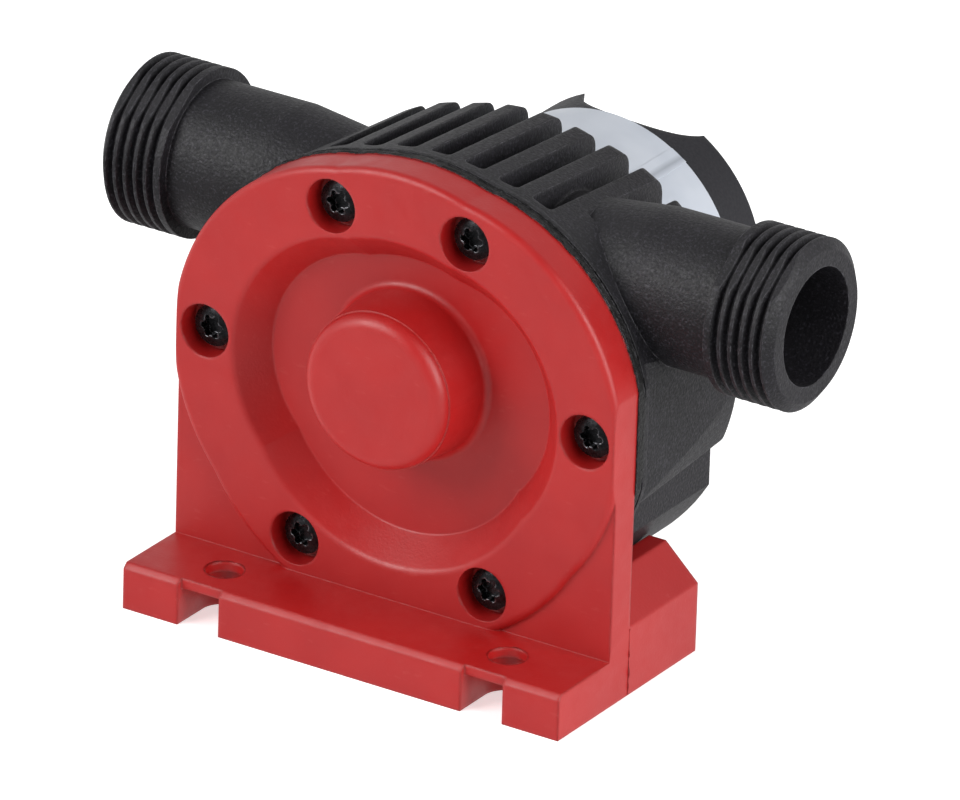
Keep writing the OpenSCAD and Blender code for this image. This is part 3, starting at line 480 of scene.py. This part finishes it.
# Dark and bright tone, lowest and highest roughness, and the millimetres between two marks
METALS = {
    "ground_stainless_steel": ("A9ABAE", "B4B6B9", 0.24, 0.32, 0.25),
    "stamped_stainless_steel": ("A3A5A8", "B0B2B4", 0.28, 0.4, 0.3),
    "bearing_steel": ("B8BABE", "C8CACD", 0.12, 0.2, 0.25),
    "pressed_steel_sheet": ("9DA0A3", "ABADB0", 0.28, 0.4, 0.4),
    "drawn_spring_wire": ("A8AAAD", "BFC1C4", 0.25, 0.35, 0.08),
    "phosphated_spring_steel": ("3A3B3E", "505155", 0.42, 0.58, 0.2),
    "sintered_bronze": ("8A6234", "A87A42", 0.38, 0.55, 0.25),
    "pressed_brass": ("A58545", "BF9C55", 0.25, 0.38, 0.15),
}


def metal(name, dark, bright, rough_low, rough_high, line_mm):
    material = new_material(name)
    place = object_place(material)
    lines = object_place(material, AROUND_SHAFT)
    clouded = patches(material, place, size_mm=1.2)
    layers = [(clouded, bright), (edge_wear_and_sheen(material, place, reach_mm=0.2, most=0.3), RUBBED_BRIGHT)]
    rough = patches(material, lines, line_mm, low=rough_low, high=rough_high, detail=2.0)
    marks = patches(material, lines, line_mm, detail=1.0)
    normal = pressed_grain(material, METAL_EDGE, [(marks, MARK_MM)])
    surface = {"Roughness": rough, "Metallic": 1.0, "Normal": normal}
    return finish_material(material, dark, layers, surface)


metals = {name: metal(name, *look) for name, look in METALS.items()}

# %% [markdown]
# ## The impeller's core: acetal
# The stiff core in the rubber is turned acetal: milky, a little waxy and slightly cloudy. Subsurface
# light would give the wax, but the core is hidden, so cloudy colour and a soft sheen are enough.

# %% Acetal
ACETAL_IOR = 1.48
ACETAL_EDGE = 0.2 * MM
TURNING_MM = 0.005


def milky_acetal():
    material = new_material("milky_acetal")
    place = object_place(material)
    layers = [(patches(material, place, size_mm=3.0, detail=2.0), "C8C3B3")]
    turned = patches(material, place, size_mm=0.4)
    normal = pressed_grain(material, ACETAL_EDGE, [(turned, TURNING_MM)])
    rough = patches(material, place, size_mm=1.5, low=0.38, high=0.48)
    surface = {"Roughness": rough, "IOR": ACETAL_IOR, "Normal": normal}
    return finish_material(material, "B9B4A2", layers, surface)


core_plastic = milky_acetal()

# %% [markdown]
# ## Dressing the CAD pieces
# Each CAD node gets one of these materials in place of the plain colour that it came with. The
# pieces could be dressed one by one, but one table shows at a glance what is made of what.

# %% Assign the materials
finishes = {
    "front_cover": red_plastic,
    "pump_housing": black_plastic,
    "cover_screws": screw_steel,
    "neck_label": label_film,
    "cover_seal": seal_rubber,
    "impeller": impeller_rubber,
    "impeller_insert": core_plastic,
    "drive_shaft": metals["ground_stainless_steel"],
    "drive_pin": metals["ground_stainless_steel"],
    "front_bush": metals["sintered_bronze"],
    "front_thrust_washer": metals["stamped_stainless_steel"],
    "rear_thrust_washer": metals["stamped_stainless_steel"],
    "shaft_seal": seal_rubber,
    "seal_case": metals["pressed_steel_sheet"],
    "garter_spring": metals["drawn_spring_wire"],
    "slinger_ring": seal_rubber,
    "bearing_outer_race": metals["bearing_steel"],
    "bearing_inner_race": metals["bearing_steel"],
    "bearing_balls": metals["bearing_steel"],
    "bearing_cage": metals["pressed_brass"],
    "bearing_shields": metals["pressed_steel_sheet"],
    "seat_circlip": metals["phosphated_spring_steel"],
    "shaft_circlip": metals["phosphated_spring_steel"],
}
for name, piece in nodes.items():
    piece.data.materials.clear()
    piece.data.materials.append(finishes[name])
print("dressed", len(nodes), "nodes")

# %% [markdown]
# ## Pieces of trim
# What is too thin for the CAD model is added here: flash and the label's overlap. Each piece is a
# list of points and faces. Blender's own shapes and modifiers could make some of them, but lists put
# every point where the mould or the hand left it. One helper turns them into an object, gives it its
# finish and says that it rides on the housing.

# %% Add a piece to the housing
RED = {"material": red_plastic, "slot": "red_cover_plastic"}
BLACK = {"material": black_plastic, "slot": "black_housing_plastic"}
FILM = {"material": label_film, "slot": "label_film"}


def add_to_housing(name, points, faces, material, slot):
    mesh = bpy.data.meshes.new(name)
    mesh.from_pydata(points, [], faces)
    mesh.update()
    mesh.materials.append(material)
    piece = bpy.data.objects.new(name, mesh)
    bpy.context.scene.collection.objects.link(piece)
    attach(piece, "housing")
    print("made", name, "with", len(points), "points")


print("trim takes its finish from", RED["slot"], BLACK["slot"], "and", FILM["slot"])

# %% [markdown]
# ## Flash along the mould's joints
# Where two halves of a mould meet, a little plastic squeezes out and leaves flash: a thin, ragged
# ridge. It shows along the cover's joint to the housing, down the foot's sides behind the plate, and
# around the bolt holes. A bevelled curve would make an even bead. So each ridge is a strip of mesh
# with a triangular section that follows a path, and its height wanders with noise, so no two
# stretches look alike. No tip stands higher than the CAD model.

# %% A ragged ridge along a path
FLASH_HALF_WIDTH = 0.12 * MM
SLOW_WANDER_MM, FAST_WANDER_MM = 1.3, 0.4
FAST_SHARE, MIDDLE_HEIGHT, LEAST_HEIGHT = 0.5, 0.5, 0.12
CORNERS = 3


def flash_section(place, out, side, reach):
    wander = noise.noise(place * per_metre(SLOW_WANDER_MM))
    wander += FAST_SHARE * noise.noise(place * per_metre(FAST_WANDER_MM))
    height = reach * max(LEAST_HEIGHT, min(1.0, MIDDLE_HEIGHT + wander))
    sunk = place - out * FLASH_HALF_WIDTH
    foot = side * FLASH_HALF_WIDTH
    tip = place + out * height
    tip.z = min(tip.z, cad_box[1].z)
    return [sunk - foot, tip, sunk + foot]


def flash_ridge(name, path, outward, across, reach, closed=False, **finish):
    points = []
    for place, out, side in zip(path, outward, across):
        points += flash_section(place, out, side, reach)
    sections = len(path)
    faces = []
    for i in range(sections if closed else sections - 1):
        here, after = CORNERS * i, CORNERS * ((i + 1) % sections)
        for j in range(CORNERS):
            k = (j + 1) % CORNERS
            faces.append((here + j, here + k, after + k, after + j))
    if not closed:
        last = CORNERS * (sections - 1)
        faces += [(2, 1, 0), (last, last + 1, last + 2)]
    add_to_housing(name, points, faces, **finish)


print("a ridge is", 2 * FLASH_HALF_WIDTH / MM, "mm wide")

# %% [markdown]
# ## The line of the joint
# The cover's edge is made of three round arcs: one about the pump's middle and two about points a
# little above it on either side. The flash has to follow that edge. It could be traced from the CAD
# mesh, but the arcs are known, so each point is the furthest arc met by a ray from the middle.

# %% A path along the cover's edge
# The centres of the two side arcs, and the radii of the middle arc and the side arcs
LOBE_X = 5.97 * MM
LOBE_Z = 41.06 * MM
CORE_EDGE = 36.93 * MM
LOBE_EDGE = 33.37 * MM
FLASH_STEP = 0.35 * MM
foot_half_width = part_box("front_cover")[1][0]


def edge_from(direction):
    circles = ((0.0, CORE_Z, CORE_EDGE), (LOBE_X, LOBE_Z, LOBE_EDGE), (-LOBE_X, LOBE_Z, LOBE_EDGE))
    furthest = 0.0
    for x, z, radius in circles:
        along = direction.x * x + direction.z * (z - CORE_Z)
        away = x * x + (z - CORE_Z) ** 2 - radius * radius
        furthest = max(furthest, along + math.sqrt(along * along - away))
    return furthest


def joint_path(y, further=0.0):
    path, outward = [], []
    count = int(math.pi * CORE_EDGE / FLASH_STEP)
    for i in range(count + 1):
        angle = math.pi * i / count
        direction = Vector((math.cos(angle), 0.0, math.sin(angle)))
        place = Vector((0.0, y, CORE_Z)) + direction * (edge_from(direction) + further)
        if abs(place.x) < foot_half_width:
            path.append(place)
            outward.append(direction)
    return path, outward


print("the joint's line has", len(joint_path(0.0)[0]), "points")

# %% [markdown]
# ## Flash at the joint
# The red ridge lies on the cover's rear edge, and two black ones lie on the flange's edge behind it,
# which stands out a little further. All three are the same kind of ridge, laid on that line. A bump
# in the materials would look much the same from the front, but it wouldn't show in the outline.

# %% Ridges at the joint
PLATE_REAR = 6.3 * MM
FLANGE_LIP = 0.22 * MM
RED_REACH, BLACK_REACH = 0.2 * MM, 0.16 * MM
# How far behind the plate each black ridge lies
BLACK_LINES = {"flange_front_flash": 0.25 * MM, "flange_line_flash": 1.25 * MM}
backward = Vector((0, 1, 0))

path, outward = joint_path(PLATE_REAR)
flash_ridge("joint_flash", path, outward, [backward] * len(path), RED_REACH, **RED)
for name, behind in BLACK_LINES.items():
    path, outward = joint_path(PLATE_REAR + behind, FLANGE_LIP)
    flash_ridge(name, path, outward, [backward] * len(path), BLACK_REACH, **BLACK)

# %% [markdown]
# ## Flash down the foot's sides
# The plate and the cradle behind it were cut in different halves of the mould, so a ridge runs down
# each side of the foot. A straight strip could be a thin box, but the ragged ridge does it as well,
# with one point in the middle of each step.

# %% The foot's sides
SIDE_TOP = 11.0 * MM
SIDE_REACH = 0.28 * MM
count = int(SIDE_TOP / FLASH_STEP)
heights = [SIDE_TOP * (i + 0.5) / count for i in range(count)]
for label, side in (("right", 1), ("left", -1)):
    path = [Vector((side * foot_half_width, PLATE_REAR, height)) for height in heights]
    outward = [Vector((side, 0, 0))] * count
    flash_ridge(f"{label}_foot_flash", path, outward, [backward] * count, SIDE_REACH, **RED)

# %% [markdown]
# ## Flash around the bolt holes
# The pins that form the bolt holes leave a torn ring on the ledge. A flattened torus would be too
# even, so it is the same ridge once more, closed into a ring and standing up.

# %% Rings around the bolt holes
BOLT_X = 25 * MM
BOLT_Y = 5.8 * MM
BOLT_R = 2.9 * MM
RING_REACH = 0.22 * MM
count = int(math.tau * BOLT_R / FLASH_STEP)
angles = [math.tau * i / count for i in range(count)]
rays = [Vector((math.cos(angle), math.sin(angle), 0)) for angle in angles]
upward = [Vector((0, 0, 1))] * count
for label, side in (("right", 1), ("left", -1)):
    hole = Vector((side * BOLT_X, -BOLT_Y, LEDGE_TOP))
    path = [hole + ray * (BOLT_R + FLASH_HALF_WIDTH) for ray in rays]
    flash_ridge(f"{label}_bolt_flash", path, upward, rays, RING_REACH, closed=True, **RED)

# %% [markdown]
# ## The label's overlap
# The label is wound once around the neck, and its last few millimetres lie on its first ones. The
# overlap is a thin strip bent to the neck. Its free end lifts a little off the film below, unevenly,
# and that is the crease that catches the light. A flat strip could be bent by a modifier, but here
# each point is placed on the neck's round straight away, so the strip sits where the film does.

# %% Points of the overlap
LABEL_R = 23.12 * MM
LABEL_START, LABEL_END = 40.4 * MM, 57.9 * MM
OVERLAP_T = 0.06 * MM
LAP_BEFORE, LAP_AFTER = 2.2 * MM, 0.9 * MM
LAP_COLUMNS, LAP_ROWS = 12, 36
LAP_WANDER, LAP_WANDER_MM = 0.15 * MM, 3.0
# The film's lift, in its own thicknesses: at the stuck end, what the free end adds, and how late
LAP_CLING, LAP_RISE, LAP_CURL = 0.3, 1.6, 4


def lap_layer(top):
    points = []
    for row in range(LAP_ROWS + 1):
        y = LABEL_START + (LABEL_END - LABEL_START) * row / LAP_ROWS
        wander = noise.noise(Vector((0.0, y * per_metre(LAP_WANDER_MM), 0.0))) * LAP_WANDER
        for column in range(LAP_COLUMNS + 1):
            share = column / LAP_COLUMNS
            arc = LAP_BEFORE * (share - 1) + LAP_AFTER * share + wander * share
            lift = OVERLAP_T * (LAP_CLING + LAP_RISE * share**LAP_CURL)
            radius = LABEL_R + (OVERLAP_T + lift if top else 0.0)
            angle = SEAM_ANGLE - arc / LABEL_R
            points.append((radius * math.cos(angle), y, SHAFT_Z + radius * math.sin(angle)))
    return points


lap_points = lap_layer(top=False) + lap_layer(top=True)
print("overlap of", LAP_COLUMNS, "by", LAP_ROWS, "steps")

# %% [markdown]
# ## Closing the overlap
# The two layers of points become the strip's underside and its top, and a wall of faces runs around
# its border. A solidify modifier could thicken one layer, but the free end rises, so the top has its
# own points.


# %% Faces of the overlap
def lap_faces():
    across = LAP_COLUMNS + 1
    layer = across * (LAP_ROWS + 1)
    faces = []
    for row in range(LAP_ROWS):
        for column in range(LAP_COLUMNS):
            corner = row * across + column
            below = (corner, corner + 1, corner + 1 + across, corner + across)
            faces.append(below)
            faces.append(tuple(layer + point for point in reversed(below)))
    border = list(range(across))
    border += [row * across + LAP_COLUMNS for row in range(1, LAP_ROWS + 1)]
    border += [LAP_ROWS * across + column for column in reversed(range(LAP_COLUMNS))]
    border += [row * across for row in reversed(range(1, LAP_ROWS))]
    for here, after in zip(border, border[1:] + border[:1]):
        faces.append((after, here, here + layer, after + layer))
    return faces


add_to_housing("label_lap", lap_points, lap_faces(), **FILM)

# %% [markdown]
# ## The camera
# The photograph was taken from far away with a long lens, a little to the right and from above. Its
# place and turn were solved from the cover, the foot and the ports, which have known shapes. Blender
# could aim it with a constraint, but a matrix of its three directions keeps the exact turn.

# %% Camera
LENS_MM = 490.04
CAMERA_PLACE = Vector((0.93797, -1.47557, 0.83625))
CAMERA_RIGHT = Vector((0.84050, 0.54105, 0.02871))
CAMERA_BACK = Vector((0.48257, -0.77164, 0.41437)).normalized()
NEAREST, FURTHEST = 0.1, 100.0

camera_data = bpy.data.cameras.new("photo_camera")
camera_data.lens = LENS_MM
camera_data.clip_start = NEAREST
camera_data.clip_end = FURTHEST
camera = bpy.data.objects.new("photo_camera", camera_data)
bpy.context.scene.collection.objects.link(camera)
camera_up = CAMERA_BACK.cross(CAMERA_RIGHT).normalized()
camera_right = camera_up.cross(CAMERA_BACK)
turn = Matrix((camera_right, camera_up, CAMERA_BACK)).transposed().to_4x4()
camera.matrix_world = Matrix.Translation(CAMERA_PLACE) @ turn
bpy.context.scene.camera = camera
print("camera", round(CAMERA_PLACE.length, 2), "m away with a", LENS_MM, "mm lens")

# %% [markdown]
# ## The floor
# The object stands on a plain pale floor that glows a little, as a light table does, so shadows stay
# faint. The floor isn't seen in reflections, or every upright face would take its glare. A curved
# backdrop is usual in a studio, but nothing of it would show in this view, so a flat sheet will do.

# %% Floor
FLOOR_SIZE = 20.0
FLOOR_ROUGHNESS, FLOOR_GLOW = 0.9, 0.6


def studio_floor(size, height):
    mesh = bpy.data.meshes.new("studio_floor")
    half = size / 2
    corners = [(-half, -half, height), (half, -half, height), (half, half, height), (-half, half, height)]
    mesh.from_pydata(corners, [], [(0, 1, 2, 3)])
    floor = bpy.data.objects.new("studio_floor", mesh)
    bpy.context.scene.collection.objects.link(floor)
    material = new_material("pale_paper_floor")
    surface = {"Roughness": FLOOR_ROUGHNESS}
    surface.update({"Emission Color": linear("FFFFFF"), "Emission Strength": FLOOR_GLOW})
    mesh.materials.append(finish_material(material, "F4F4F4", [], surface))
    floor.visible_glossy = False


low, high = cad_box
studio_floor(FLOOR_SIZE, height=low.z)

# %% [markdown]
# ## The lights
# A large soft panel in front on the left is the main light, and a second one on the right brightens
# the sides of the foot and the housing. Small lamps would be simpler, but they give hard shadows.

# %% Two soft panels
PANEL_WIDTH = 0.8
PANELS = {
    "main_light": {"place": (-0.74, -0.95, 0.8), "power": 15.4},
    "right_light": {"place": (1.1, -0.05, 0.55), "power": 13.0},
}


def soft_panel(name, aim, place, power):
    light = bpy.data.lights.new(name, "AREA")
    light.shape = "SQUARE"
    light.size = PANEL_WIDTH
    light.energy = power
    panel = bpy.data.objects.new(name, light)
    bpy.context.scene.collection.objects.link(panel)
    panel.location = place
    panel.rotation_mode = "QUATERNION"
    panel.rotation_quaternion = (Vector(aim) - Vector(place)).to_track_quat("-Z", "Y")
    print("lit by", name, "with", power, "W")


for name, panel in PANELS.items():
    soft_panel(name, aim=(low + high) / 2, **panel)

# %% [markdown]
# ## The room
# The room is white, but its front is darker than the rest: faces that look straight at it reflect
# little, and that is what makes the recess and its slopes read as deep. It is also a little dimmer
# overhead than near the floor. A picture of a studio could light the scene too, but two soft steps
# by direction are enough. The dark side is fixed in the room, so it doesn't move with the view.

# %% A white room with a darker side
DARK_SIDE = Vector((0.48257, -0.77164, 0.41437)).normalized()
BRIGHT_UNTIL, DARK_FROM = -0.5, 0.25
BRIGHT_LEVEL, DARK_LEVEL = 0.9, 0.2
LOW_UNTIL, HIGH_FROM = 0.05, 0.45
OVERHEAD_SHARE = 0.75


def white_room():
    world = bpy.data.worlds.new("white_room")
    world.use_nodes = True
    world.node_tree.nodes.clear()
    direction = add_node(world, "ShaderNodeTexCoord").outputs["Generated"]
    towards = {0: direction, 1: DARK_SIDE}
    facing = add_node(world, "ShaderNodeVectorMath", towards, operation="DOT_PRODUCT").outputs["Value"]
    levels = {"Value": facing, "From Min": BRIGHT_UNTIL, "From Max": DARK_FROM}
    levels.update({"To Min": BRIGHT_LEVEL, "To Max": DARK_LEVEL})
    level = add_node(world, "ShaderNodeMapRange", levels).outputs["Result"]
    height = add_node(world, "ShaderNodeSeparateXYZ", {"Vector": direction}).outputs["Z"]
    rise = {"Value": height, "From Min": LOW_UNTIL, "From Max": HIGH_FROM}
    rise.update({"To Min": 1.0, "To Max": OVERHEAD_SHARE})
    share = add_node(world, "ShaderNodeMapRange", rise).outputs["Result"]
    both = add_node(world, "ShaderNodeMath", {0: level, 1: share}, operation="MULTIPLY").outputs["Value"]
    room = add_node(world, "ShaderNodeBackground", {"Color": linear("FFFFFF"), "Strength": both})
    add_node(world, "ShaderNodeOutputWorld", {"Surface": room.outputs["Background"]})
    return world


bpy.context.scene.world = white_room()
bpy.context.scene.view_settings.view_transform = "Standard"
print("room brightness from", round(DARK_LEVEL * OVERHEAD_SHARE, 2), "to", BRIGHT_LEVEL)
